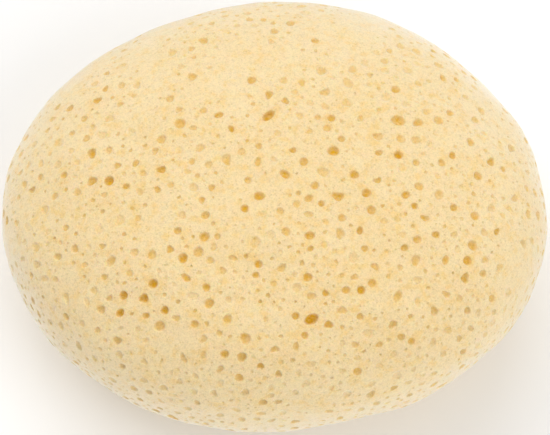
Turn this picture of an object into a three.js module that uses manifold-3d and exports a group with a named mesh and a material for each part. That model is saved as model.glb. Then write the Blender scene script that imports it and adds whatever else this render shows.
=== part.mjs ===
// A bath sponge of the sea sponge kind: one oval, pillow-shaped piece with round pores all over.
// Sizes are in millimetres and +Z is up. The origin is the middle of the flat patch that it rests on.

import * as THREE from 'three';
import { mergeVertices } from 'three/addons/utils/BufferGeometryUtils.js';
import Module from 'manifold-3d';

// Driving dimensions of the pillow.
const HALF_LENGTH = 65;
const HALF_WIDTH = 53.4;
const EQUATOR_HEIGHT = 28.5; // from the resting surface up to the widest section
const CROWN_RISE = 29.5; // from the widest section up to the top
const BELLY_DROP = 29.7; // from the widest section down to where the belly would end without its flat patch
const FULLNESS = 2.4; // exponent of the side profile: 2 is an ellipse, and more is a fuller shoulder

// The oval isn't perfect: shallow waves round the outline, in millimetres.
const OUTLINE_WAVES = [
  { turns: 2, cosine: 0, sine: -0.3 },
  { turns: 3, cosine: -0.15, sine: -0.5 },
  { turns: 4, cosine: 0, sine: -0.5 },
];
const OUTLINE_SHIFT = { x: 0.15, y: -0.5 }; // puts the middle of the waved outline back over the origin

// How finely the pillow is divided.
const SEGMENTS = 60;
const CROWN_RINGS = 14;
const BELLY_RINGS = 12;

// The widest pores of the crown, each as its place seen from above, from the oval's middle, and its radius.
const CROWN_PORES = [
  { x: 6.5, y: -36, radius: 1.7 },
  { x: 11, y: -32.5, radius: 1.4 },
  { x: -1, y: 13, radius: 1.7 },
  { x: 29, y: 11, radius: 1.6 },
  { x: -21, y: 12, radius: 1.35 },
  { x: -38.5, y: -0.5, radius: 1.25 },
  { x: 14, y: 3, radius: 1.25 },
  { x: -28, y: -35, radius: 1.3 },
  { x: 7, y: -17.5, radius: 1.2 },
  { x: -17, y: -16.5, radius: 1.2 },
  { x: -22, y: -21, radius: 1.2 },
  { x: -29, y: -19.5, radius: 1.1 },
  { x: -29, y: -26, radius: 1.1 },
  { x: -36, y: -27.5, radius: 1.1 },
  { x: -37, y: -31, radius: 1.1 },
  { x: 18, y: -30, radius: 1.1 },
  { x: 31.5, y: -18.5, radius: 1.1 },
  { x: 43, y: -22.5, radius: 1.1 },
  { x: 28.5, y: 2, radius: 1.1 },
  { x: 29, y: 19.5, radius: 1.1 },
  { x: -12.5, y: 13.5, radius: 1.1 },
  { x: 47, y: -2, radius: 1.1 },
  { x: -13.5, y: -42, radius: 1.1 },
  { x: 16.5, y: -46, radius: 1.1 },
];

// The widest pores of the shoulder, the side and the belly, spread evenly by the golden angle.
const SPREAD_PORES = 36;
const SPREAD_FROM = 0.3; // share of the pillow's height from the top down where the spread starts
const SPREAD_TO = 0.95; // and where it ends, short of the flat patch
const SPREAD_RADII = [1.2, 1.5, 1.3, 1.6, 1.1];
const GOLDEN_ANGLE = Math.PI * (3 - Math.sqrt(5));

// A pore is a bubble that the surface has cut open.
const BUBBLE_SIZE = 1.06; // the bubble's radius, as a share of the mouth's
const BUBBLE_SINK = 0.35; // how far its middle lies under the surface, as a share of the mouth's radius

const spongeFoam = new THREE.MeshStandardMaterial({ color: 0xf6daa3, roughness: 0.95, metalness: 0 });

/** Distance from the middle to the widest outline, in the direction of an angle. */
function outlineRadius(angle) {
  let radius = 1 / Math.hypot(Math.cos(angle) / HALF_LENGTH, Math.sin(angle) / HALF_WIDTH);
  for (const { turns, cosine, sine } of OUTLINE_WAVES) {
    radius += cosine * Math.cos(turns * angle) + sine * Math.sin(turns * angle);
  }
  return radius;
}

/** A point of the pillow: tilt is 0 at the top, a quarter turn at the widest section and half a turn below. */
function bodyPoint(angle, tilt) {
  const reach = outlineRadius(angle) * Math.sin(tilt) ** (2 / FULLNESS);
  const level = Math.abs(Math.cos(tilt)) ** (2 / FULLNESS);
  const height = tilt < Math.PI / 2 ? CROWN_RISE * level : -BELLY_DROP * level;
  const x = OUTLINE_SHIFT.x + reach * Math.cos(angle);
  const y = OUTLINE_SHIFT.y + reach * Math.sin(angle);
  return new THREE.Vector3(x, y, EQUATOR_HEIGHT + height);
}

/** The outward direction of the pillow at a point. */
function bodyNormal(angle, tilt) {
  const step = 0.002;
  const along = bodyPoint(angle + step, tilt).sub(bodyPoint(angle - step, tilt));
  const down = bodyPoint(angle, tilt + step).sub(bodyPoint(angle, tilt - step));
  return down.cross(along).normalize();
}

/** The tilt at which the belly meets the resting surface. */
function footTilt() {
  return Math.PI - Math.acos((EQUATOR_HEIGHT / BELLY_DROP) ** (FULLNESS / 2));
}

/** The tilt of a crown point that lies at a share of the way out to the widest outline. */
function crownTilt(share) {
  return Math.asin(share ** (FULLNESS / 2));
}

/** The closed pillow: rings of points from the top down to the edge of the flat patch. */
function pillowGeometry() {
  const tilts = [];
  for (let ring = 1; ring <= CROWN_RINGS; ring += 1) {
    tilts.push((Math.PI / 2) * (ring / CROWN_RINGS));
  }
  for (let ring = 1; ring <= BELLY_RINGS; ring += 1) {
    tilts.push(Math.PI / 2 + (footTilt() - Math.PI / 2) * (ring / BELLY_RINGS));
  }
  const points = [bodyPoint(0, 0)];
  for (const tilt of tilts) {
    for (let segment = 0; segment < SEGMENTS; segment += 1) {
      points.push(bodyPoint((2 * Math.PI * segment) / SEGMENTS, tilt));
    }
  }
  for (const point of points.slice(-SEGMENTS)) {
    point.z = 0;
  }
  points.push(new THREE.Vector3(OUTLINE_SHIFT.x, OUTLINE_SHIFT.y, 0));

  const at = (ring, segment) => 1 + ring * SEGMENTS + (segment % SEGMENTS);
  const faces = [];
  for (let segment = 0; segment < SEGMENTS; segment += 1) {
    faces.push(0, at(0, segment), at(0, segment + 1));
    for (let ring = 0; ring < tilts.length - 1; ring += 1) {
      faces.push(at(ring, segment), at(ring + 1, segment), at(ring + 1, segment + 1));
      faces.push(at(ring, segment), at(ring + 1, segment + 1), at(ring, segment + 1));
    }
    faces.push(points.length - 1, at(tilts.length - 1, segment + 1), at(tilts.length - 1, segment));
  }
  const geometry = new THREE.BufferGeometry();
  geometry.setAttribute('position', new THREE.Float32BufferAttribute(points.flatMap((p) => p.toArray()), 3));
  geometry.setIndex(faces);
  return geometry;
}

/** The bubble whose cut makes one pore. */
function bubbleGeometry({ angle, tilt, radius }) {
  const bubble = new THREE.DodecahedronGeometry(radius * BUBBLE_SIZE);
  const middle = bodyPoint(angle, tilt).addScaledVector(bodyNormal(angle, tilt), -radius * BUBBLE_SINK);
  bubble.translate(middle.x, middle.y, middle.z);
  return bubble;
}

/** Every pore that is cut, as its angle, its tilt and its mouth's radius. */
function poreList() {
  const pores = CROWN_PORES.map(({ x, y, radius }) => {
    const angle = Math.atan2(y, x);
    return { angle, tilt: crownTilt(Math.hypot(x, y) / outlineRadius(angle)), radius };
  });
  for (let index = 0; index < SPREAD_PORES; index += 1) {
    const share = SPREAD_FROM + (SPREAD_TO - SPREAD_FROM) * ((index + 0.5) / SPREAD_PORES);
    pores.push({
      angle: index * GOLDEN_ANGLE,
      tilt: Math.acos(1 - 2 * share),
      radius: SPREAD_RADII[index % SPREAD_RADII.length],
    });
  }
  return pores;
}

const wasm = await Module();
wasm.setup();

/** A closed geometry as a solid that can be cut. */
function toSolid(geometry) {
  geometry.deleteAttribute('normal');
  geometry.deleteAttribute('uv');
  const merged = mergeVertices(geometry);
  const vertProperties = new Float32Array(merged.attributes.position.array);
  const triVerts = new Uint32Array(merged.index.array);
  return new wasm.Manifold(new wasm.Mesh({ numProp: 3, vertProperties, triVerts }));
}

/** A cut solid as a geometry again. */
function toGeometry(solid) {
  const { vertProperties, triVerts } = solid.getMesh();
  const geometry = new THREE.BufferGeometry();
  geometry.setAttribute('position', new THREE.BufferAttribute(new Float32Array(vertProperties), 3));
  geometry.setIndex(new THREE.BufferAttribute(new Uint32Array(triVerts), 1));
  geometry.computeVertexNormals();
  return geometry;
}

/** The sponge: the pillow with its widest pores cut into it. */
function buildSponge() {
  let solid = toSolid(pillowGeometry());
  for (const pore of poreList()) {
    solid = solid.subtract(toSolid(bubbleGeometry(pore)));
  }
  const sponge = new THREE.Mesh(toGeometry(solid), spongeFoam);
  sponge.name = 'sponge';
  return sponge;
}

const group = new THREE.Group();
group.add(buildSponge());

export default group;
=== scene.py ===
"""A bath sponge of the sea sponge kind: one oval pillow with round pores of every size.

The pillow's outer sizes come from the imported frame. Inside this script the sponge is worked out in
millimetres, and MM turns its points into metres when the mesh is made.
"""

import logging
import math
from collections.abc import Callable
from dataclasses import dataclass, field
from enum import Enum

import bpy
import numpy as np
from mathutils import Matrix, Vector
from mathutils.geometry import delaunay_2d_cdt


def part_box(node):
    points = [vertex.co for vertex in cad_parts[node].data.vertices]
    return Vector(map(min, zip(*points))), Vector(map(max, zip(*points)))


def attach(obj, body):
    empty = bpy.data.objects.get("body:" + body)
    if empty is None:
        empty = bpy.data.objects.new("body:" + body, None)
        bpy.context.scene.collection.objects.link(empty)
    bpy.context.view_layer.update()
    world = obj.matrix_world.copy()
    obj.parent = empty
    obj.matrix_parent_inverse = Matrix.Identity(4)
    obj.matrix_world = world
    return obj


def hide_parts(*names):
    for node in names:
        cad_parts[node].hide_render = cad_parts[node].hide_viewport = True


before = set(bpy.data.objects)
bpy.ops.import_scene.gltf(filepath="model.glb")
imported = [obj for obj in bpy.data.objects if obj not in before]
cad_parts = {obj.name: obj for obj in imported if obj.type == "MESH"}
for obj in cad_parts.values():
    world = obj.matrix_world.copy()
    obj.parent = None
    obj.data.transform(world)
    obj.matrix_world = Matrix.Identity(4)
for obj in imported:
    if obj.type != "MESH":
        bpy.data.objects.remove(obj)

LOG = logging.getLogger("sponge")
MM = 0.001
NODE = "sponge"
SAME_RATIO = 1e-6  # two shares whose ratio's logarithm is under this count as the same
LEAST_SHARE = 1e-9  # keeps a logarithm away from nothing


# ---------------------------------------------------------------------------------------------
# The pillow: the sponge's body before its pores
# ---------------------------------------------------------------------------------------------


@dataclass(frozen=True)
class OutlineWave:
    """One shallow wave round the oval's outline, in millimetres."""

    turns: int
    cosine: float
    sine: float


@dataclass(frozen=True)
class Ripples:
    """Long faint waves, in millimetres, that cross each other in every direction through the sponge."""

    count: int = 9
    shortest: float = 7.0
    longest: float = 24.0
    rise: float = 0.09
    seed: int = 11

    def at(self, points: np.ndarray) -> np.ndarray:
        """How high the waves stand at each point.

        Args:
            points: places in the sponge, one a row.

        Returns:
            One height a point, below the smooth skin about as often as above it.
        """
        rng = np.random.default_rng(self.seed)
        total = np.zeros(len(points))
        for _ in range(self.count):
            way = rng.normal(size=3)
            way /= np.linalg.norm(way)
            length = rng.uniform(self.shortest, self.longest)
            start = rng.uniform(0.0, 2.0 * math.pi)
            height = self.rise * math.sqrt(length / self.longest)
            total += height * np.sin(points @ way * 2.0 * math.pi / length + start)
        return total


@dataclass
class Pillow:
    """The oval body with its flat patch underneath, and a flat chart of its whole skin.

    The chart is a plane round the crown's top. Near the top one unit of it is a millimetre, and it
    grows outwards so that shapes keep their form all the way round to the middle of the flat patch.

    Sizes are in millimetres. A share says how far out a place is, from 0 in the middle to 1 at the
    widest outline. The meridian runs from the top over the widest section to the foot's middle.
    """

    half_length: float
    half_width: float
    height: float
    equator_share: float = 28.5 / 58.0  # how high up the widest section is
    belly_overrun: float = 1.2  # how far past the flat patch the belly's curve would end
    fullness: float = 2.4  # exponent of the side profile: 2 is an ellipse, and more is fuller
    waves: tuple[OutlineWave, ...] = (
        OutlineWave(2, 0.0, -0.3),
        OutlineWave(3, -0.15, -0.5),
        OutlineWave(4, 0.0, -0.5),
    )
    shift: tuple[float, float] = (0.15, -0.5)  # puts the waved outline's middle over the origin
    foot_centre: float = 0.013  # the share where the chart ends, round the flat patch's middle
    foot_fade: float = 5.0  # the height over which the ripples grow from nothing
    ripples: Ripples = Ripples()
    samples: int = 3000  # along the crown, the belly and the foot alike
    first_tilt: float = 2e-4  # of the first sample, in radians from the top
    slope_step: float = 0.35  # how far to either side a slope is taken
    near_axis: float = 1.0  # a slope's step stops shrinking this close to the axis

    def __post_init__(self) -> None:
        """Works out the meridian: its shares, heights, lengths from the top and chart radii."""
        power = 2.0 / self.fullness
        equator = self.height * self.equator_share
        drop = equator + self.belly_overrun
        foot = math.acos((equator / drop) ** (self.fullness / 2.0))
        crown_tilt = np.linspace(self.first_tilt, math.pi / 2.0, self.samples)
        belly_tilt = np.linspace(math.pi / 2.0, foot, self.samples)[1:]
        crown_share = np.sin(crown_tilt) ** power
        belly_share = np.sin(belly_tilt) ** power
        foot_share = np.linspace(belly_share[-1], self.foot_centre, self.samples)[1:]
        self.shares = np.concatenate([crown_share, belly_share, foot_share])
        self.heights = np.concatenate([
            equator + (self.height - equator) * np.cos(crown_tilt).clip(0.0) ** power,
            equator - drop * np.cos(belly_tilt).clip(0.0) ** power,
            np.zeros(len(foot_share)),
        ])
        self.mean_radius = math.sqrt(self.half_length * self.half_width)
        out = np.diff(self.shares) * self.mean_radius
        steps = np.hypot(out, np.diff(self.heights))

        # The chart radius's logarithm grows by each step on the skin over its distance from the axis.
        ratio = np.log(self.shares[1:] / self.shares[:-1])
        even = np.abs(ratio) < SAME_RATIO
        middle = np.where(even, self.shares[1:] * self.mean_radius, out / np.where(even, 1.0, ratio))
        self.log_radii = math.log(self.shares[0]) + np.concatenate([[0.0], np.cumsum(steps / middle)])
        self.lengths = np.concatenate([[0.0], np.cumsum(steps)])

    @classmethod
    def filling(cls, low: Vector, high: Vector) -> "Pillow":
        """The pillow that fills a box.

        Args:
            low: the box's lowest corner, in metres.
            high: its highest corner, in metres.

        Returns:
            The pillow, in millimetres.
        """
        return cls(
            half_length=(high.x - low.x) / 2.0 / MM,
            half_width=(high.y - low.y) / 2.0 / MM,
            height=(high.z - low.z) / MM,
        )

    def outline_radius(self, angle: np.ndarray) -> np.ndarray:
        """Distance from the middle to the widest outline.

        Args:
            angle: directions from the middle, in radians.

        Returns:
            One distance an angle.
        """
        radius = 1.0 / np.hypot(np.cos(angle) / self.half_length, np.sin(angle) / self.half_width)
        for wave in self.waves:
            turned = wave.turns * angle
            radius = radius + wave.cosine * np.cos(turned) + wave.sine * np.sin(turned)
        return radius

    def chart_at(self, angle: np.ndarray, length: np.ndarray) -> np.ndarray:
        """Places on the chart for an angle and a length along the meridian from the top."""
        radius = np.exp(np.interp(length, self.lengths, self.log_radii)) * self.outline_radius(angle)
        return np.stack([radius * np.cos(angle), radius * np.sin(angle)], axis=-1)

    def chart_over(self, x: float, y: float) -> np.ndarray:
        """The place on the chart of a point of the crown.

        Args:
            x: how far the point lies along the sponge, seen from above, from the oval's middle.
            y: how far it lies across the sponge.

        Returns:
            Its place on the chart.
        """
        angle = np.array([math.atan2(y, x)])
        share = math.hypot(x, y) / self.outline_radius(angle)
        crown = slice(0, self.samples)
        length = np.interp(share, self.shares[crown], self.lengths[crown])
        return self.chart_at(angle, length)[0]

    def _logs(self, chart: np.ndarray) -> tuple[np.ndarray, np.ndarray, np.ndarray]:
        """Where places lie round the chart and how far out.

        Args:
            chart: places on the chart, one a row.

        Returns:
            Each one's angle, the outline's radius there, and the logarithm of the place's share of it.
        """
        angle = np.arctan2(chart[:, 1], chart[:, 0])
        reach = self.outline_radius(angle)
        share = np.hypot(chart[:, 0], chart[:, 1]) / reach
        return angle, reach, np.log(np.maximum(share, LEAST_SHARE))

    def lengths_at(self, chart: np.ndarray) -> np.ndarray:
        """Length along the meridian from the top, for each place on the chart."""
        return np.interp(self._logs(chart)[2], self.log_radii, self.lengths)

    def plain(self, chart: np.ndarray) -> np.ndarray:
        """Points of the smooth pillow.

        Args:
            chart: places on the chart, one a row.

        Returns:
            One point a place.
        """
        angle, reach, logs = self._logs(chart)
        out = reach * np.interp(logs, self.log_radii, self.shares)
        x = self.shift[0] + out * np.cos(angle)
        y = self.shift[1] + out * np.sin(angle)
        z = np.interp(logs, self.log_radii, self.heights)
        return np.stack([x, y, z], axis=-1)

    def skin(self, chart: np.ndarray) -> np.ndarray:
        """Points of the pillow with its ripples, which fade to nothing at the flat patch.

        Args:
            chart: places on the chart, one a row.

        Returns:
            One point a place.
        """
        points = self.plain(chart)
        normals = self._slopes(chart, self.plain)[2]
        fade = np.clip(points[:, 2] / self.foot_fade, 0.0, 1.0)
        rise = self.ripples.at(points) * fade * fade * (3.0 - 2.0 * fade)
        return points + normals * rise[:, None]

    def _slopes(
        self, chart: np.ndarray, surface: Callable[[np.ndarray], np.ndarray]
    ) -> tuple[np.ndarray, np.ndarray, np.ndarray]:
        """How a surface runs at some places.

        Args:
            chart: the places on the chart, one a row.
            surface: what gives the surface's points for places on the chart.

        Returns:
            The surface's slope along the chart's x and along its y, and its outward direction.
        """
        share = np.interp(self._logs(chart)[2], self.log_radii, self.shares)
        radius = np.maximum(np.hypot(chart[:, 0], chart[:, 1]), self.near_axis)
        step = (self.slope_step * radius / np.maximum(share * self.mean_radius, self.near_axis))[:, None]
        right = np.array([1.0, 0.0])
        up = np.array([0.0, 1.0])
        slope_x = (surface(chart + step * right) - surface(chart - step * right)) / (2.0 * step)
        slope_y = (surface(chart + step * up) - surface(chart - step * up)) / (2.0 * step)
        normal = np.cross(slope_x, slope_y)
        return slope_x, slope_y, normal / np.linalg.norm(normal, axis=1, keepdims=True)

    def frames(self, chart: np.ndarray) -> "Frames":
        """How the skin lies at some places.

        Args:
            chart: the places on the chart, one a row.

        Returns:
            The skin's directions at each place.
        """
        slope_x, slope_y, normal = self._slopes(chart, self.skin)
        along = slope_x / np.linalg.norm(slope_x, axis=1, keepdims=True)
        across = np.cross(normal, along)
        from_chart = np.stack([
            np.stack([(along * slope_x).sum(1), (along * slope_y).sum(1)], axis=-1),
            np.stack([(across * slope_x).sum(1), (across * slope_y).sum(1)], axis=-1),
        ], axis=1)
        return Frames(chart, normal, np.stack([along, across], axis=1), np.linalg.inv(from_chart))

    def around(self, frames: "Frames", steps: np.ndarray, rounds: int = 5) -> np.ndarray:
        """Where steps along the skin lead to on the chart.

        Args:
            frames: the places that the steps start from.
            steps: for each place, some steps in millimetres on the plane that touches the skin there.
            rounds: how often the first guess is put right.

        Returns:
            The places that the steps lead to, by place and by step.
        """
        start = self.plain(frames.chart)[:, None]
        chart = frames.chart[:, None] + np.einsum("nij,nsj->nsi", frames.to_chart, steps)
        for _ in range(rounds):
            moved = self.plain(chart.reshape(-1, 2)).reshape(*steps.shape[:2], 3) - start
            missing = steps - np.einsum("nij,nsj->nsi", frames.axes, moved)
            chart = chart + np.einsum("nij,nsj->nsi", frames.to_chart, missing)
        return chart


@dataclass(frozen=True)
class Frames:
    """How the skin lies at some places of the chart.

    Each place has its outward direction, two directions along the skin, and the matrix that turns
    steps along those two into steps on the chart.
    """

    chart: np.ndarray
    normal: np.ndarray
    axes: np.ndarray
    to_chart: np.ndarray


# ---------------------------------------------------------------------------------------------
# The pores: which there are and where
# ---------------------------------------------------------------------------------------------


@dataclass(frozen=True)
class Ring:
    """One ring of a pore's wall.

    Place and reach are its radius on the chart and on the sponge, as shares of the mouth's. Sink is
    how deep it lies, as a share of the pore's depth, and shade is its share of the pore's painted shade.
    """

    place: float
    reach: float
    sink: float
    shade: float


# The two painted pore shades: amber, for light trapped in a pore, and plain shadow.
PORE_SHADES = ("pore_amber_shade", "pore_shadow")
LEAST_DEPTH = 0.15  # of the palest pore, as a share of its radius
TONE_DEPTH = 0.8  # what a full tone adds to that share
CUBE = 4.5  # side of the cubes that places are sorted into, about as wide as two great pores
MOUTH = Ring(1.22, 1.22, 0.0, 0.08)
BUBBLE_RINGS = (MOUTH, Ring(1.02, 1.02, 0.1, 0.05), Ring(0.82, 0.93, 0.46, 0.42), Ring(0.5, 0.6, 0.88, 0.9))
CUP_RINGS = (MOUTH, Ring(0.96, 0.96, 0.16, 0.08), Ring(0.6, 0.7, 0.78, 0.75))
DIMPLE_RINGS = (Ring(1.15, 1.15, 0.0, 0.08), Ring(0.7, 0.75, 0.6, 0.6))


@dataclass(frozen=True)
class Grade:
    """One size of pore: how many there are, how wide, how strong and how finely they are made.

    Narrowest and widest are radii in millimetres, and faintest and deepest are tones from 0 to 1.
    The amber share is how much of the tone is painted amber shade, for light trapped in the pore. The
    rest is painted plain shadow, which small pores have more of.
    Highest is the height, in millimetres, that pores placed by chance stay under.
    """

    count: int
    narrowest: float
    widest: float
    faintest: float
    deepest: float
    amber_shade_share: float
    sides: int
    rings: tuple[Ring, ...]
    highest: float = math.inf


class PoreGrade(Enum):
    """The sizes of pore, from the widest down."""

    GREAT = Grade(130, 1.05, 1.5, 0.3, 1.0, 0.95, 14, BUBBLE_RINGS, highest=28.0)
    LARGE = Grade(900, 0.8, 1.42, 0.12, 0.85, 0.9, 10, BUBBLE_RINGS)
    MIDDLE = Grade(1000, 0.54, 0.8, 0.1, 0.7, 0.76, 7, CUP_RINGS)
    SMALL = Grade(1000, 0.38, 0.54, 0.1, 0.7, 0.5, 6, CUP_RINGS)
    FINE = Grade(600, 0.28, 0.38, 0.1, 0.6, 0.35, 6, DIMPLE_RINGS)


@dataclass(frozen=True)
class KnownPore:
    """A pore of the crown that is known by itself.

    Its place is seen from above, from the oval's middle, in millimetres. Its stretch is its length
    over its width, and its turn is the angle from +X to its length, in degrees.
    """

    x: float
    y: float
    radius: float
    tone: float = 0.6
    stretch: float = 1.0
    turn: float = 0.0


KNOWN_PORES: tuple[KnownPore, ...] = (
    KnownPore(6.5, -36, 1.55, tone=1.0, stretch=1.45, turn=25),
    KnownPore(-1, 13, 1.5, tone=0.85, stretch=1.8, turn=42),
    KnownPore(29, 11, 1.6, tone=0.65, stretch=1.3, turn=-15),
    KnownPore(-21.5, 12, 1.45, tone=0.55),
    KnownPore(13.5, 3, 1.4, tone=0.8, stretch=1.1),
    KnownPore(-28, -35, 1.4, tone=0.5, stretch=1.2),
    KnownPore(-17, -16.5, 1.3, tone=0.65, stretch=1.1),
    KnownPore(-38.5, -0.5, 1.3, tone=0.9),
    KnownPore(-16.5, -31.5, 1.25, tone=0.6),
    KnownPore(-29, -26, 1.25, tone=0.85),
    KnownPore(-22, -21, 1.25, tone=0.8),
    KnownPore(38.5, 11.5, 1.25, tone=0.45),
    KnownPore(-26, 8.5, 1.2, tone=0.45),
    KnownPore(29, 19.5, 1.2, tone=0.6, stretch=1.1, turn=20),
    KnownPore(20.5, -7.5, 1.2, tone=0.8),
    KnownPore(2, -2.5, 1.2, tone=0.75, stretch=1.5, turn=-40),
    KnownPore(7, -17.5, 1.2, tone=0.75, stretch=1.25),
    KnownPore(45.5, -12, 1.2, tone=0.6),
    KnownPore(47, -2, 1.2, tone=0.6),
    KnownPore(43, -22.5, 1.2, tone=0.8, stretch=1.1),
    KnownPore(28.5, 2, 1.15, tone=0.9, stretch=1.1),
    KnownPore(18, -3, 1.15, tone=0.75),
    KnownPore(6.5, 0.5, 1.15, tone=0.7, stretch=1.1, turn=60),
    KnownPore(6, -27, 1.15, tone=0.7),
    KnownPore(-29, -19.5, 1.15, tone=0.45),
    KnownPore(-36, -27.5, 1.15, tone=0.9),
    KnownPore(-37, -31, 1.15, tone=0.8, stretch=1.3, turn=35),
    KnownPore(2.9, -35.2, 1.0, tone=0.7),
    KnownPore(18, -30, 1.1, tone=0.8),
    KnownPore(20.5, -28.5, 1.1, tone=0.6),
    KnownPore(14.5, -30, 1.05, tone=0.55, stretch=1.2),
    KnownPore(-33, -18.5, 1.1, tone=0.35, stretch=1.2, turn=20),
    KnownPore(14.5, -13.5, 1.05, tone=0.5, stretch=1.1),
    KnownPore(-16.5, -11.5, 1.1, tone=0.5, stretch=1.1, turn=20),
    KnownPore(29.5, -8, 1.1, tone=0.7, stretch=1.2, turn=30),
    KnownPore(31.4, -10.6, 0.9, tone=0.75),
    KnownPore(31.5, -18.5, 1.1, tone=0.6),
    KnownPore(28.5, -20.5, 1.0, tone=0.7),
    KnownPore(-12.5, 13.5, 1.05, tone=0.7, stretch=1.4, turn=10),
    KnownPore(-16, 15, 1.0, tone=0.4),
    KnownPore(13.5, 11.5, 1.05, tone=0.7),
    KnownPore(-7.5, -10.5, 1.05, tone=0.75),
    KnownPore(7, -12.5, 1.05, tone=0.4, stretch=1.7, turn=-10),
    KnownPore(0.5, -11.5, 1.0, tone=0.45),
    KnownPore(-4, 1, 1.05, tone=0.5, stretch=1.6, turn=80),
    KnownPore(-5, -23.5, 1.05, tone=0.75),
    KnownPore(-5.7, -25.9, 0.9, tone=0.6, stretch=1.1),
    KnownPore(-17, -28, 1.05, tone=0.65),
    KnownPore(-20, -35.5, 1.05, tone=0.6),
    KnownPore(-31, -32.5, 0.95, tone=0.6, stretch=1.2),
    KnownPore(-23, -14.5, 1.0, tone=0.7),
    KnownPore(-14, -16.7, 0.85, tone=0.5),
    KnownPore(41.5, 14, 1.0, tone=0.55),
    KnownPore(40.5, -10.5, 1.0, tone=0.75),
    KnownPore(15.5, 6, 0.95, tone=0.65, stretch=1.1, turn=-20),
    KnownPore(24, 2.5, 0.95, tone=0.65, stretch=1.4, turn=15),
    KnownPore(-6.5, -3.5, 0.95, tone=0.55),
    KnownPore(7, -20.6, 0.8, tone=0.6, stretch=1.2, turn=15),
    KnownPore(18.5, -16.5, 0.95, tone=0.9, stretch=1.4, turn=80),
    KnownPore(-13.5, -42, 1.1, tone=0.65),
    KnownPore(-10.5, -46.5, 1.1, tone=0.6),
    KnownPore(16.5, -46, 1.1, tone=0.6, stretch=1.1),
    KnownPore(29, -40, 1.0, tone=0.6),
    KnownPore(50.5, -15, 0.9, tone=0.7, stretch=1.5, turn=60),
    KnownPore(48.5, -29.5, 1.0, tone=0.5),
    KnownPore(11, 34, 1.0, tone=0.55, stretch=1.2),
    KnownPore(-49, 3, 1.0, tone=0.55),
    KnownPore(-44, 17, 1.0, tone=0.45),
    KnownPore(-34.5, -2.5, 0.9, tone=0.7, stretch=1.2),
    KnownPore(10, -10, 0.9, tone=0.7),
)


@dataclass
class Pore:
    """One pore where it lies: its place on the chart and its form, in millimetres."""

    chart: np.ndarray
    centre: np.ndarray
    radius: float
    tone: float
    amber_shade_share: float
    stretch: float
    turn: float
    wobble: float
    phase: float

    @property
    def span(self) -> float:
        """Its longest radius over the mouth's edge."""
        return self.radius * math.sqrt(self.stretch) * (1.0 + self.wobble) * MOUTH.reach

    @property
    def depth(self) -> float:
        """How deep it is: a pale pore is a shallow one."""
        return self.radius * (LEAST_DEPTH + TONE_DEPTH * self.tone)


class Neighbourhood:
    """Remembers where things lie on the skin and finds how close the next one would be."""

    def __init__(self, cell: float) -> None:
        """Starts empty, with cubes of this size to sort places into."""
        self.cell = cell
        self.cubes: dict[tuple[int, int, int], list[tuple[float, float, float, float]]] = {}

    def _key(self, point: np.ndarray) -> tuple[int, int, int]:
        """The cube that a point lies in."""
        return tuple(int(value // self.cell) for value in point)

    def free(self, point: np.ndarray, span: float) -> bool:
        """Finds out whether there is room for one more thing.

        Args:
            point: where its middle would lie.
            span: how far it would reach from there.

        Returns:
            True if it would touch nothing that is there already.
        """
        i, j, k = self._key(point)
        x, y, z = point
        for a in (i - 1, i, i + 1):
            for b in (j - 1, j, j + 1):
                for c in (k - 1, k, k + 1):
                    for ox, oy, oz, other in self.cubes.get((a, b, c), ()):
                        room = span + other
                        if (x - ox) ** 2 + (y - oy) ** 2 + (z - oz) ** 2 < room * room:
                            return False
        return True

    def add(self, point: np.ndarray, span: float) -> None:
        """Puts a thing of this span at the point."""
        self.cubes.setdefault(self._key(point), []).append((*map(float, point), span))


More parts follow.
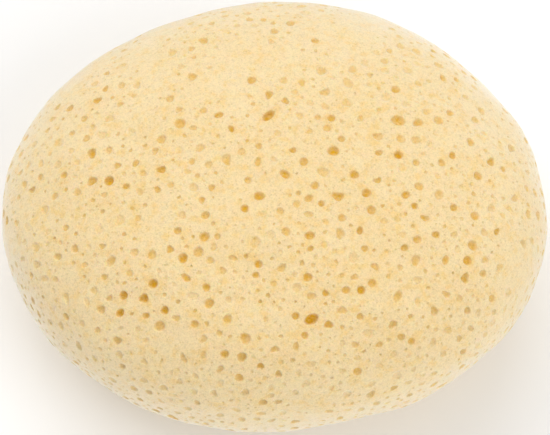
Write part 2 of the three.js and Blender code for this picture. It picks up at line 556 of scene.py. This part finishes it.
@dataclass
class PoreScatter:
    """Spreads the pores over the whole skin: the known ones, then every grade from the widest down.

    Lengths are in millimetres. A lean is the pair of powers of a beta draw, which says whether small
    or great values come up more often. What starts with side acts on the flanks, below the crown and
    above the foot, and what starts with back grows towards +Y and turns round towards -Y.
    """

    pillow: Pillow
    seed: int = 20
    draws_per_pore: int = 6
    plain_draws: int = 60000
    wall: float = 0.07  # the least skin between two pores' rims
    radius_lean: tuple[float, float] = (1.1, 1.5)
    tone_lean: tuple[float, float] = (1.5, 2.5)
    close_pairs: float = 0.24  # how many pores get a second one right beside them
    pair_gaps: tuple[float, float] = (0.75, 1.1)  # room left for it, as shares of the first's radius
    stretched_share: float = 0.4
    most_stretch: float = 1.7
    stretch_power: float = 1.5  # makes long pores rarer than nearly round ones
    round_stretch: float = 1.15  # the most stretch of the pores that aren't stretched
    least_wobble: float = 0.05
    most_wobble: float = 0.36
    bare_foot: float = 3.0  # radius round the foot's middle that has no pores
    side_start: float = 0.25
    side_full: float = 0.55
    side_paleness: float = 0.36
    # turns some of a flank pore's painted amber shade into painted plain shadow, most towards -Y
    side_coolness: float = 0.5
    side_fineness: float = 0.35
    back_paleness: float = 0.3
    back_bareness: float = 0.22
    crowding: Ripples = Ripples(count=7, shortest=9.0, longest=26.0, rise=0.24, seed=5)
    evenness: float = 0.5  # the chance that a place is used, before crowding and back bareness
    known_shift: tuple[float, float] = (0.15, -0.18)  # moves all the known pores together
    known_size: float = 0.97
    known_wobble: float = 0.1

    def __post_init__(self) -> None:
        """Starts the draw and the map of what is taken."""
        self.rng = np.random.default_rng(self.seed)
        self.taken = Neighbourhood(CUBE)
        self.taken.add(np.array([*self.pillow.shift, 0.0]), self.bare_foot)
        self.pores: dict[PoreGrade, list[Pore]] = {grade: [] for grade in PoreGrade}

    def skin_places(self, count: int) -> tuple[np.ndarray, np.ndarray]:
        """Even random places over the skin.

        Args:
            count: how many places to draw before the thinning that evens them out.

        Returns:
            Their places on the chart, and the points themselves.
        """
        angle = self.rng.uniform(0.0, 2.0 * math.pi, count)
        length = self.rng.uniform(0.0, self.pillow.lengths[-1], count)
        share = np.interp(length, self.pillow.lengths, self.pillow.shares)
        reach = self.pillow.outline_radius(angle) / self.pillow.half_length
        kept = self.rng.uniform(0.0, 1.0, count) < share * reach
        chart = self.pillow.chart_at(angle[kept], length[kept])
        return chart, self.pillow.skin(chart)

    def _add(self, grade: PoreGrade, pore: Pore) -> bool:
        """Puts a pore in if there is room for it.

        Args:
            grade: which grade it belongs to.
            pore: the pore.

        Returns:
            True if it went in.
        """
        span = pore.span + self.wall / 2.0
        if not self.taken.free(pore.centre, span):
            return False
        self.taken.add(pore.centre, span)
        self.pores[grade].append(pore)
        return True

    def _known(self) -> None:
        """Places the crown's known pores."""
        for known in KNOWN_PORES:
            x = known.x + self.known_shift[0]
            y = known.y + self.known_shift[1]
            chart = self.pillow.chart_over(x, y)
            great = known.radius >= PoreGrade.GREAT.value.narrowest
            grade = PoreGrade.GREAT if great else PoreGrade.LARGE
            pore = Pore(
                chart=chart,
                centre=self.pillow.skin(chart[None])[0],
                radius=known.radius * self.known_size,
                tone=known.tone,
                amber_shade_share=grade.value.amber_shade_share,
                stretch=known.stretch,
                turn=math.radians(known.turn),
                wobble=self.rng.uniform(0.0, self.known_wobble),
                phase=self.rng.uniform(0.0, 2.0 * math.pi),
            )
            if not self._add(grade, pore):
                LOG.warning("no room for the known pore at %.1f, %.1f", known.x, known.y)

    def _random_pore(self, chart: np.ndarray, centre: np.ndarray, grade: Grade) -> Pore:
        """A pore with its form drawn by chance.

        Args:
            chart: its place on the chart.
            centre: the skin's point there.
            grade: what its size and tone may be.

        Returns:
            The pore, not yet put in.
        """
        side = 1.0 - abs(2.0 * centre[2] / self.pillow.height - 1.0)
        fade = min(max((side - self.side_start) / (self.side_full - self.side_start), 0.0), 1.0)
        back = centre[1] / self.pillow.half_width
        wider = (grade.widest - grade.narrowest) * self.rng.beta(*self.radius_lean)
        radius = grade.narrowest + wider * (1.0 - self.side_fineness * fade)
        tone = grade.faintest + (grade.deepest - grade.faintest) * self.rng.beta(*self.tone_lean)
        tone *= 1.0 - self.side_paleness * fade
        tone *= 1.0 - self.back_paleness * back
        if self.rng.uniform() < self.stretched_share:
            stretch = 1.0 + (self.most_stretch - 1.0) * self.rng.uniform() ** self.stretch_power
        else:
            stretch = self.rng.uniform(1.0, self.round_stretch)
        return Pore(
            chart=chart,
            centre=centre,
            radius=radius,
            tone=tone,
            amber_shade_share=grade.amber_shade_share * (1.0 - self.side_coolness * fade * (0.5 - 0.5 * back)),
            stretch=stretch,
            turn=self.rng.uniform(0.0, math.pi),
            wobble=self.rng.uniform(self.least_wobble, self.most_wobble),
            phase=self.rng.uniform(0.0, 2.0 * math.pi),
        )

    def _beside(self, pore: Pore) -> tuple[np.ndarray, np.ndarray]:
        """A place right beside a pore, for a second one with a thin wall between the two.

        Args:
            pore: the pore that is there.

        Returns:
            The place on the chart, and the skin's point there.
        """
        frames = self.pillow.frames(pore.chart[None])
        angle = self.rng.uniform(0.0, 2.0 * math.pi)
        reach = pore.span + self.rng.uniform(*self.pair_gaps) * pore.radius * MOUTH.reach + self.wall
        step = reach * np.array([[[math.cos(angle), math.sin(angle)]]])
        chart = self.pillow.around(frames, step)[0, 0]
        return chart, self.pillow.skin(chart[None])[0]

    def spread(self) -> dict[PoreGrade, list[Pore]]:
        """Places every pore.

        Returns:
            The pores of each grade.
        """
        self._known()
        for grade in PoreGrade:
            spec = grade.value
            while len(self.pores[grade]) < spec.count:
                charts, points = self.skin_places(spec.count * self.draws_per_pore)
                wanted = self.evenness + self.crowding.at(points)
                wanted -= self.back_bareness * points[:, 1] / self.pillow.half_width
                crowded = self.rng.uniform(size=len(points)) < wanted
                charts, points = charts[crowded], points[crowded]
                for chart, point in zip(charts, points):
                    if len(self.pores[grade]) >= spec.count:
                        break
                    if point[2] > spec.highest:
                        continue
                    pore = self._random_pore(chart, point, spec)
                    if self._add(grade, pore) and self.rng.uniform() < self.close_pairs:
                        self._add(grade, self._random_pore(*self._beside(pore), spec))
            LOG.info("%s pores: %d", grade.name.lower(), len(self.pores[grade]))
        return self.pores

    def plain_places(self, spacing: float, clear: float) -> np.ndarray:
        """Places on the bare skin between the pores, for the mesh to follow the pillow there.

        Args:
            spacing: how far apart they are at least.
            clear: how far they stay from every pore.

        Returns:
            The places on the chart, one a row.
        """
        charts, points = self.skin_places(self.plain_draws)
        picked = []
        among = Neighbourhood(CUBE)
        for chart, point in zip(charts, points):
            if self.taken.free(point, clear) and among.free(point, spacing / 2.0):
                among.add(point, spacing / 2.0)
                picked.append(chart)
        return np.array(picked)


# ---------------------------------------------------------------------------------------------
# The mesh
# ---------------------------------------------------------------------------------------------


@dataclass
class SkinMesh:
    """Gathers the sponge's points and triangles, and turns them into a mesh.

    Corner turn is how far a pore's first corner is turned for each radian of its phase. The texture
    map keeps the crown above the seam, a share of the meridian's length, in one oval and the belly
    in another, each map reach wide on either side of its middle.
    """

    pillow: Pillow
    corner_turn: float = 0.1
    map_seam: float = 0.52
    map_reach: float = 0.47
    charts: list[np.ndarray] = field(default_factory=list)
    points: list[np.ndarray] = field(default_factory=list)
    normals: list[np.ndarray] = field(default_factory=list)
    pore_shades: list[np.ndarray] = field(default_factory=list)
    triangles: list[np.ndarray] = field(default_factory=list)
    rims: list[np.ndarray] = field(default_factory=list)
    total: int = 0

    def _gather(self, chart: np.ndarray, points: np.ndarray, normals: np.ndarray, pore_shade: np.ndarray) -> int:
        """Adds points.

        Args:
            chart: their places on the chart.
            points: the points themselves.
            normals: their outward directions, or nothing but zeros inside a pore.
            pore_shade: how much painted amber shade and painted shadow each has, in two columns.

        Returns:
            The number of the first of them.
        """
        first = self.total
        self.charts.append(chart)
        self.points.append(points)
        self.normals.append(normals)
        self.pore_shades.append(pore_shade)
        self.total += len(chart)
        return first

    def add_pores(self, pores: list[Pore], spec: Grade) -> None:
        """Adds the cups of one grade of pore.

        Args:
            pores: the pores, all made with the same rings.
            spec: the grade, which says how many sides and rings each has.
        """
        count, sides = len(pores), spec.sides
        chart = np.array([pore.chart for pore in pores])
        frames = self.pillow.frames(chart)
        radius = np.array([pore.radius for pore in pores])[:, None]
        stretch = np.array([pore.stretch for pore in pores])[:, None]
        turn = np.array([pore.turn for pore in pores])[:, None]
        wobble = np.array([pore.wobble for pore in pores])[:, None]
        phase = np.array([pore.phase for pore in pores])[:, None]
        depth = np.array([pore.depth for pore in pores])
        amber_shade_share = np.array([pore.amber_shade_share for pore in pores])
        tone = np.array([pore.tone for pore in pores])[:, None]
        # Each pore's painted shade: its tone split into amber shade and plain shadow.
        pore_shade = tone * np.stack([amber_shade_share, 1.0 - amber_shade_share], axis=-1)

        # The mouth is an ellipse, made uneven by three soft corners and a lean.
        angle = np.linspace(0.0, 2.0 * math.pi, sides, endpoint=False)[None] + phase * self.corner_turn
        mouth = radius / np.sqrt(np.cos(angle) ** 2 / stretch + np.sin(angle) ** 2 * stretch)
        corners = np.cos(3.0 * angle + phase)
        lean = np.sin(2.0 * angle + 3.0 * phase)
        mouth = mouth * (1.0 + wobble * (corners + lean) / 2.0)
        edge = np.stack([mouth * np.cos(angle + turn), mouth * np.sin(angle + turn)], axis=-1)
        zero = np.zeros((count * sides, 3))
        firsts = []
        for ring in spec.rings:
            place = self.pillow.around(frames, edge * ring.place).reshape(-1, 2)
            under = self.pillow.around(frames, edge * ring.reach).reshape(-1, 2)
            sink = np.repeat(frames.normal * (depth * ring.sink)[:, None], sides, axis=0)
            points = self.pillow.skin(under) - sink
            shade = np.repeat(pore_shade * ring.shade, sides, axis=0)
            normals = self.pillow.frames(place).normal if ring is spec.rings[0] else zero
            firsts.append(self._gather(place, points, normals, shade))
        floor = self.pillow.skin(chart) - frames.normal * depth[:, None]
        bottom = self._gather(chart, floor, zero[:count], pore_shade)

        base = np.arange(count)[:, None] * sides
        here = base + np.arange(sides)[None]
        after = base + (np.arange(sides)[None] + 1) % sides
        for outer, inner in zip(firsts[:-1], firsts[1:]):
            self._strip(outer + here, outer + after, inner + here, inner + after)
        centre = np.repeat((bottom + np.arange(count))[:, None], sides, axis=1)
        fan = np.stack([firsts[-1] + here, firsts[-1] + after, centre], axis=-1)
        self.triangles.append(fan.reshape(-1, 3))
        self.rims.extend(firsts[0] + here)

    def _strip(self, a: np.ndarray, b: np.ndarray, c: np.ndarray, d: np.ndarray) -> None:
        """Adds the two triangles of each four-cornered patch a, b, d, c."""
        self.triangles.append(np.stack([a, b, d], axis=-1).reshape(-1, 3))
        self.triangles.append(np.stack([a, d, c], axis=-1).reshape(-1, 3))

    def add_plain(self, chart: np.ndarray) -> None:
        """Adds points of bare skin between the pores, at these places on the chart."""
        normals = self.pillow.frames(chart).normal
        self._gather(chart, self.pillow.skin(chart), normals, np.zeros((len(chart), len(PORE_SHADES))))

    def close_foot(self, sides: int = 10) -> None:
        """Adds the last small ring round the middle of the flat patch, and the fan that closes it.

        The chart ends at that ring, so the middle is given a place just past it.

        Args:
            sides: how many points the ring has.
        """
        past_ring = 1.5
        angle = np.linspace(0.0, 2.0 * math.pi, sides, endpoint=False)
        chart = self.pillow.chart_at(angle, np.full(sides, self.pillow.lengths[-1]))
        down = np.tile([0.0, 0.0, -1.0], (sides + 1, 1))
        chart = np.vstack([chart, chart[:1] * past_ring])
        points = self.pillow.skin(chart)
        points[:, 2] = 0.0
        points[-1] = (*self.pillow.shift, 0.0)
        first = self._gather(chart, points, down, np.zeros((sides + 1, len(PORE_SHADES))))
        here = first + np.arange(sides)
        after = first + (np.arange(sides) + 1) % sides
        middle = np.full(sides, first + sides)
        self.triangles.append(np.stack([after, here, middle], axis=-1))

    def stretch_skin(self) -> None:
        """Covers the skin between the pores with triangles, by way of the chart.

        Every rim goes in as a face, and the triangles that come out as part of one are left out. The
        foot's middle, which is the last point, has its own triangles already.
        """
        whole_hull = 0
        merge_within = 1e-7
        chart = np.vstack(self.charts)
        on_skin = np.flatnonzero(np.abs(np.vstack(self.normals)).sum(1) > 0.0)
        on_skin = on_skin[on_skin != self.total - 1]
        number = np.full(self.total, -1)
        number[on_skin] = np.arange(len(on_skin))
        places = [Vector(place) for place in chart[on_skin]]
        rims = [number[rim].tolist() for rim in self.rims]
        result = delaunay_2d_cdt(places, [], rims, whole_hull, merge_within, True)
        _, _, faces, origins, _, rims_round = result
        source = np.array([on_skin[origin[0]] for origin in origins])
        if len(source) != len(on_skin):
            raise RuntimeError("two pores' rims cross")
        over_pore = np.array([bool(owners) for owners in rims_round])
        self.triangles.append(source[np.array(faces)][~over_pore])

    def _uvs(self, faces: np.ndarray) -> np.ndarray:
        """Texture places: the crown's in the upper half of the map and the belly's in the lower.

        Args:
            faces: the three point numbers of each triangle.

        Returns:
            One place a corner, triangle by triangle.
        """
        chart = np.vstack(self.charts)
        angle = np.arctan2(chart[:, 1], chart[:, 0])
        length = self.pillow.lengths_at(chart)
        whole = self.pillow.lengths[-1]
        seam = whole * self.map_seam
        crown = length / seam
        belly = (whole - length) / (whole - seam)
        way = np.stack([np.cos(angle), np.sin(angle)], axis=-1)
        reach = np.array([self.map_reach, self.map_reach / 2.0])
        mirror = np.array([-1.0, 1.0])
        upper = np.array([0.5, 0.75]) + way * crown[:, None] * reach
        lower = np.array([0.5, 0.25]) + way * belly[:, None] * (mirror * reach)
        on_crown = length[faces].mean(1) < seam
        return np.where(on_crown[:, None, None], upper[faces], lower[faces]).reshape(-1, 2)

    def build(self, name: str) -> bpy.types.Object:
        """Makes the object.

        Args:
            name: the name that the object and its mesh get.

        Returns:
            The object, in metres, with its texture map, its painted pore shade and its normals.
        """
        faces = np.vstack(self.triangles)
        points = np.vstack(self.points) * MM
        mesh = bpy.data.meshes.new(name)
        mesh.from_pydata(points.tolist(), [], faces.tolist())
        mesh.polygons.foreach_set("use_smooth", np.ones(len(faces), bool))
        pore_shades = np.vstack(self.pore_shades).astype(np.float32)
        for column, pore_shade in enumerate(PORE_SHADES):
            layer = mesh.attributes.new(pore_shade, "FLOAT", "POINT")
            layer.data.foreach_set("value", np.ascontiguousarray(pore_shades[:, column]))
        layer = mesh.uv_layers.new(name="OFBake")
        layer.uv.foreach_set("vector", self._uvs(faces).astype(np.float32).ravel())
        mesh.update()
        mesh.normals_split_custom_set_from_vertices(np.vstack(self.normals).tolist())
        piece = bpy.data.objects.new(name, mesh)
        bpy.context.scene.collection.objects.link(piece)
        LOG.info("%s mesh: %d points, %d triangles", name, len(points), len(faces))
        return piece


# ---------------------------------------------------------------------------------------------
# Shader building
# ---------------------------------------------------------------------------------------------


class Blend(Enum):
    """Ways to mix two colours."""

    MIX = "MIX"
    MULTIPLY = "MULTIPLY"


@dataclass(frozen=True)
class Value:
    """A number that varies over the surface. Arithmetic on it adds Math nodes."""

    maker: "NodeMaker"
    socket: bpy.types.NodeSocket

    def _math(self, operation: str, *terms: "Value | float") -> "Value":
        """The result of one Math node."""
        return self.maker.node("ShaderNodeMath", {"operation": operation}, dict(enumerate(terms))).value()

    def __add__(self, other: "Value | float") -> "Value":
        """Sum."""
        return self._math("ADD", self, other)

    __radd__ = __add__

    def __sub__(self, other: "Value | float") -> "Value":
        """Difference."""
        return self._math("SUBTRACT", self, other)

    def __rsub__(self, other: "Value | float") -> "Value":
        """Difference from a number."""
        return self._math("SUBTRACT", other, self)

    def __mul__(self, other: "Value | float") -> "Value":
        """Product."""
        return self._math("MULTIPLY", self, other)

    __rmul__ = __mul__

    def between(self, low: float, high: float) -> "Value":
        """0 below low, 1 above high, and a smooth rise between them; low may be the higher one."""
        settings = {"interpolation_type": "SMOOTHSTEP"}
        return self.maker.node("ShaderNodeMapRange", settings, {0: self, 1: low, 2: high}).value()


@dataclass(frozen=True)
class Shade:
    """A colour or a vector that varies over the surface, or a shader."""

    maker: "NodeMaker"
    socket: bpy.types.NodeSocket


@dataclass(frozen=True)
class Made:
    """A node that was just made, ready to hand over one of its outputs."""

    maker: "NodeMaker"
    node: bpy.types.Node

    def value(self, output: int | str = 0) -> Value:
        """One output as a number."""
        return Value(self.maker, self.node.outputs[output])

    def shade(self, output: int | str = 0) -> Shade:
        """One output as a colour, a vector or a shader."""
        return Shade(self.maker, self.node.outputs[output])


class NodeMaker:
    """Makes the nodes of one material."""

    def __init__(self, tree: bpy.types.NodeTree) -> None:
        """Clears the tree and starts from nothing."""
        self.tree = tree
        tree.nodes.clear()

    def node(self, kind: str, settings: dict[str, object], inputs: dict[int | str, object]) -> Made:
        """Makes one node.

        Args:
            kind: the node's type.
            settings: its own settings, which are set before its sockets.
            inputs: the value or link of each socket, by name or number.

        Returns:
            The node, wrapped.
        """
        node = self.tree.nodes.new(kind)
        for name, value in settings.items():
            setattr(node, name, value)
        for name, value in inputs.items():
            if isinstance(value, (Value, Shade)):
                self.tree.links.new(value.socket, node.inputs[name])
            else:
                node.inputs[name].default_value = value
        return Made(self, node)

    def mix(self, factor: Value | float, first: object, second: object, blend: Blend = Blend.MIX) -> Shade:
        """One colour mixed with another."""
        settings = {"data_type": "RGBA", "blend_type": blend.value}
        return self.node("ShaderNodeMix", settings, {0: factor, 6: first, 7: second}).shade(2)

    def attribute(self, name: str) -> Value:
        """A number stored on the mesh."""
        return self.node("ShaderNodeAttribute", {"attribute_name": name}, {}).value("Fac")

    def place(self) -> Shade:
        """The place on the object, in metres."""
        return self.node("ShaderNodeTexCoord", {}, {}).shade("Object")

    def noise(self, place: Shade, size: float, detail: float = 2.0, roughness: float = 0.5) -> Value:
        """Noise whose lumps are about size millimetres across."""
        inputs = {"Vector": place, "Scale": 1.0 / (size * MM), "Detail": detail, "Roughness": roughness}
        return self.node("ShaderNodeTexNoise", {}, inputs).value("Fac")

    def cells(self, place: Shade, size: float) -> Made:
        """Scattered cells about size millimetres apart, with the distance to each one's middle."""
        return self.node("ShaderNodeTexVoronoi", {}, {"Vector": place, "Scale": 1.0 / (size * MM)})


Colour = tuple[float, float, float, float]


def linear(red: int, green: int, blue: int) -> Colour:
    """A colour for a socket.

    Args:
        red: its red as it shows on a screen, from 0 to 255.
        green: its green.
        blue: its blue.

    Returns:
        The same colour in linear light, with full alpha.
    """
    levels = [value / 255.0 for value in (red, green, blue)]
    light = [level / 12.92 if level <= 0.04045 else ((level + 0.055) / 1.055) ** 2.4 for level in levels]
    return (*light, 1.0)


@dataclass(frozen=True)
class SpongeFinish:
    """Dry cream sponge: matte, softly lit from within, peppered with pin pricks, with painted shade: amber
    and brown in its pores for light trapped there, and grey in its pricks, specks and grain.

    Sizes are in millimetres. Relief strength and depth say how much the mottle, grain, pricks and
    specks dent the skin.
    """

    cream: Colour = linear(244, 218, 165)
    pale: Colour = linear(247, 226, 181)
    honey: Colour = linear(243, 202, 112)
    # Painted shade colours for the pores: amber, and brown for their throats.
    amber: Colour = linear(230, 176, 12)
    umber: Colour = linear(212, 130, 24)
    cloud_size: float = 14.0
    mottle_size: float = 2.2
    stain_size: float = 2.4
    blotch_size: float = 0.9
    throat_shade_size: float = 0.7
    fleck_size: float = 0.8
    prick_size: float = 0.85
    prick_gap_size: float = 1.7
    speck_size: float = 0.7
    grain_size: float = 0.35
    shadow_strength: float = 0.35
    relief_strength: float = 0.4
    relief_depth: float = 0.17
    glow_depth: float = 1.1

    def material(self, name: str) -> bpy.types.Material:
        """Makes the material.

        Args:
            name: the material's name.

        Returns:
            The material, with everything that varies worked out by its nodes.
        """
        made = bpy.data.materials.new(name)
        made.use_nodes = True
        maker = NodeMaker(made.node_tree)
        place = maker.place()
        # The pores' painted shade, stored on the mesh: amber for light trapped in them, and plain shadow.
        amber_cavity_shade, shadow = (maker.attribute(pore_shade) for pore_shade in PORE_SHADES)

        clouds = maker.noise(place, self.cloud_size, detail=3.0).between(0.35, 0.7)
        mottle = maker.noise(place, self.mottle_size, detail=3.0, roughness=0.6).between(0.3, 0.75)
        stain = maker.noise(place, self.stain_size, detail=3.0, roughness=0.55).between(0.45, 0.72)
        grain = maker.noise(place, self.grain_size, detail=2.0, roughness=0.6).between(0.35, 0.65)
        chance = maker.noise(place, self.prick_gap_size, detail=0.0).between(0.35, 0.65)
        prick = 1.0 - maker.cells(place, self.prick_size).value("Distance").between(0.1, 0.36)
        prick = prick * chance
        speck = 1.0 - maker.cells(place, self.speck_size).value("Distance").between(0.08, 0.42)
        blotch = maker.noise(place, self.blotch_size, detail=2.0).between(0.3, 0.7)
        fleck = maker.noise(place, self.fleck_size, detail=1.0).between(0.45, 0.7)
        # Painted brown shade in the throats of the pores with the most amber shade.
        throat_shade = maker.noise(place, self.throat_shade_size, detail=1.0).between(0.5, 0.7)
        throat_shade = throat_shade * amber_cavity_shade.between(0.4, 1.0)

        skin = maker.mix(0.35 * clouds + 0.35 * mottle, self.cream, self.pale)
        skin = maker.mix(0.5 * stain + 0.15 * prick, skin, self.honey)
        # Painted shade in the pores: amber, then brown in their throats.
        colour = maker.mix(amber_cavity_shade * (1.35 - 0.3 * amber_cavity_shade) * (0.7 + 0.55 * blotch), skin, self.amber)
        colour = maker.mix(0.5 * throat_shade, colour, self.umber)
        # Painted grey shade in the pin pricks, specks, flecks and grain, with the pores' painted plain
        # shadow.
        fine_shade = 0.09 * grain + 0.07 * speck + 0.11 * prick + 0.05 * fleck
        colour = maker.mix(1.0, colour, 1.0 - fine_shade - self.shadow_strength * shadow, Blend.MULTIPLY)

        relief = 0.5 * mottle - 0.4 * grain - 0.6 * prick - 0.3 * speck
        dents = {"Strength": self.relief_strength, "Distance": self.relief_depth * MM, "Height": relief}
        bump = maker.node("ShaderNodeBump", {}, dents)
        shader = maker.node(
            "ShaderNodeBsdfPrincipled",
            {},
            {
                "Base Color": colour,
                "Roughness": 0.9,
                "Specular IOR Level": 0.2,
                "Sheen Weight": 0.8,
                "Sheen Roughness": 0.5,
                "Subsurface Weight": 0.5,
                "Subsurface Radius": (1.0, 0.6, 0.25),
                "Subsurface Scale": self.glow_depth * MM,
                "Normal": bump.shade("Normal"),
            },
        )
        maker.node("ShaderNodeOutputMaterial", {}, {"Surface": shader.shade("BSDF")})
        return made


# ---------------------------------------------------------------------------------------------
# The sponge, and the studio round it
# ---------------------------------------------------------------------------------------------


@dataclass
class Sponge:
    """The whole object: one soft piece.

    Plain spacing and plain clear are how far apart the mesh's points are on bare skin, and how far
    they stay from the pores, in millimetres.
    """

    pillow: Pillow
    finish: SpongeFinish = field(default_factory=SpongeFinish)
    plain_spacing: float = 1.7
    plain_clear: float = 0.45

    def build(self) -> bpy.types.Object:
        """Makes the pillow with all its pores.

        Returns:
            The piece, not yet dressed.
        """
        scatter = PoreScatter(self.pillow)
        skin = SkinMesh(self.pillow)
        for grade, pores in scatter.spread().items():
            skin.add_pores(pores, grade.value)
        skin.add_plain(scatter.plain_places(self.plain_spacing, self.plain_clear))
        skin.close_foot()
        skin.stretch_skin()
        return skin.build("sponge_body")

    def dress(self, piece: bpy.types.Object) -> None:
        """Gives the piece its finish and ties it to the frame.

        Args:
            piece: the bare sponge.
        """
        piece.data.materials.append(self.finish.material("sponge_foam"))
        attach(piece, "root")
        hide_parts(NODE)


@dataclass(frozen=True)
class Camera:
    """Where the sponge is looked at from: two angles in degrees, and lengths in metres."""

    elevation: float = 67.0
    azimuth: float = -2.7
    distance: float = 0.6
    focal_length: float = 163.4
    aim: tuple[float, float, float] = (0.0002, -0.001, 0.0278)

    def place(self) -> None:
        """Makes the camera and looks through it."""
        data = bpy.data.cameras.new("camera")
        data.lens = self.focal_length
        camera = bpy.data.objects.new("camera", data)
        turn = math.radians(self.azimuth)
        tilt = math.radians(self.elevation)
        back = Vector((math.sin(turn) * math.cos(tilt), -math.cos(turn) * math.cos(tilt), math.sin(tilt)))
        camera.location = Vector(self.aim) + back * self.distance
        camera.rotation_euler = (-back).to_track_quat("-Z", "Y").to_euler()
        bpy.context.scene.collection.objects.link(camera)
        bpy.context.scene.camera = camera


@dataclass(frozen=True)
class SoftLight:
    """One soft box of the studio, with its lengths in metres and its power in watts."""

    name: str
    place: tuple[float, float, float]
    width: float
    power: float
    aim: tuple[float, float, float] = (0.0, 0.0, 0.03)

    def hang(self) -> None:
        """Makes the light and turns it to the sponge."""
        data = bpy.data.lights.new(self.name, "AREA")
        data.size = self.width
        data.energy = self.power
        light = bpy.data.objects.new(self.name, data)
        light.location = self.place
        way = Vector(self.aim) - Vector(self.place)
        light.rotation_euler = way.to_track_quat("-Z", "Y").to_euler()
        bpy.context.scene.collection.objects.link(light)


@dataclass(frozen=True)
class Studio:
    """A plain pale floor, a bright room and three soft boxes."""

    floor_half: float = 3.0
    floor_colour: Colour = (0.97, 0.97, 0.97, 1.0)
    room_colour: Colour = (1.0, 1.0, 1.0, 1.0)
    room_strength: float = 0.53
    lights: tuple[SoftLight, ...] = (
        SoftLight("key", (-0.6, 0.6, 0.9), 0.8, 4.6),
        SoftLight("back", (0.05, 0.65, 0.95), 0.7, 3.1),
        SoftLight("fill", (0.65, -0.75, 0.8), 1.0, 6.7),
    )

    def _lay_floor(self) -> None:
        """Makes the floor and its paint."""
        mesh = bpy.data.meshes.new("floor")
        reach = self.floor_half
        corners = [(-reach, -reach, 0.0), (reach, -reach, 0.0), (reach, reach, 0.0), (-reach, reach, 0.0)]
        mesh.from_pydata(corners, [], [(0, 1, 2, 3)])
        floor = bpy.data.objects.new("floor", mesh)
        bpy.context.scene.collection.objects.link(floor)
        paint = bpy.data.materials.new("floor_paint")
        paint.use_nodes = True
        maker = NodeMaker(paint.node_tree)
        inputs = {"Base Color": self.floor_colour, "Roughness": 0.9}
        shader = maker.node("ShaderNodeBsdfPrincipled", {}, inputs)
        maker.node("ShaderNodeOutputMaterial", {}, {"Surface": shader.shade("BSDF")})
        mesh.materials.append(paint)

    def _light_room(self) -> None:
        """Makes the light that comes from all round."""
        world = bpy.data.worlds.new("room")
        world.use_nodes = True
        maker = NodeMaker(world.node_tree)
        inputs = {"Color": self.room_colour, "Strength": self.room_strength}
        sky = maker.node("ShaderNodeBackground", {}, inputs)
        maker.node("ShaderNodeOutputWorld", {}, {"Surface": sky.shade("Background")})
        bpy.context.scene.world = world

    def build(self) -> None:
        """Makes the floor, the room's light and the soft boxes."""
        self._lay_floor()
        self._light_room()
        for light in self.lights:
            light.hang()
        bpy.context.scene.view_settings.view_transform = "Standard"


def main() -> None:
    """Builds the studio and the sponge, and notes when the sponge is dressed."""
    logging.basicConfig(level=logging.INFO, format="%(name)s: %(message)s")
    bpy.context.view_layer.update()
    Camera().place()
    Studio().build()
    sponge = Sponge(Pillow.filling(*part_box(NODE)))
    piece = sponge.build()
    sponge.dress(piece)
    LOG.info("%s dressed", piece.name)


if __name__ == "__main__":
    main()
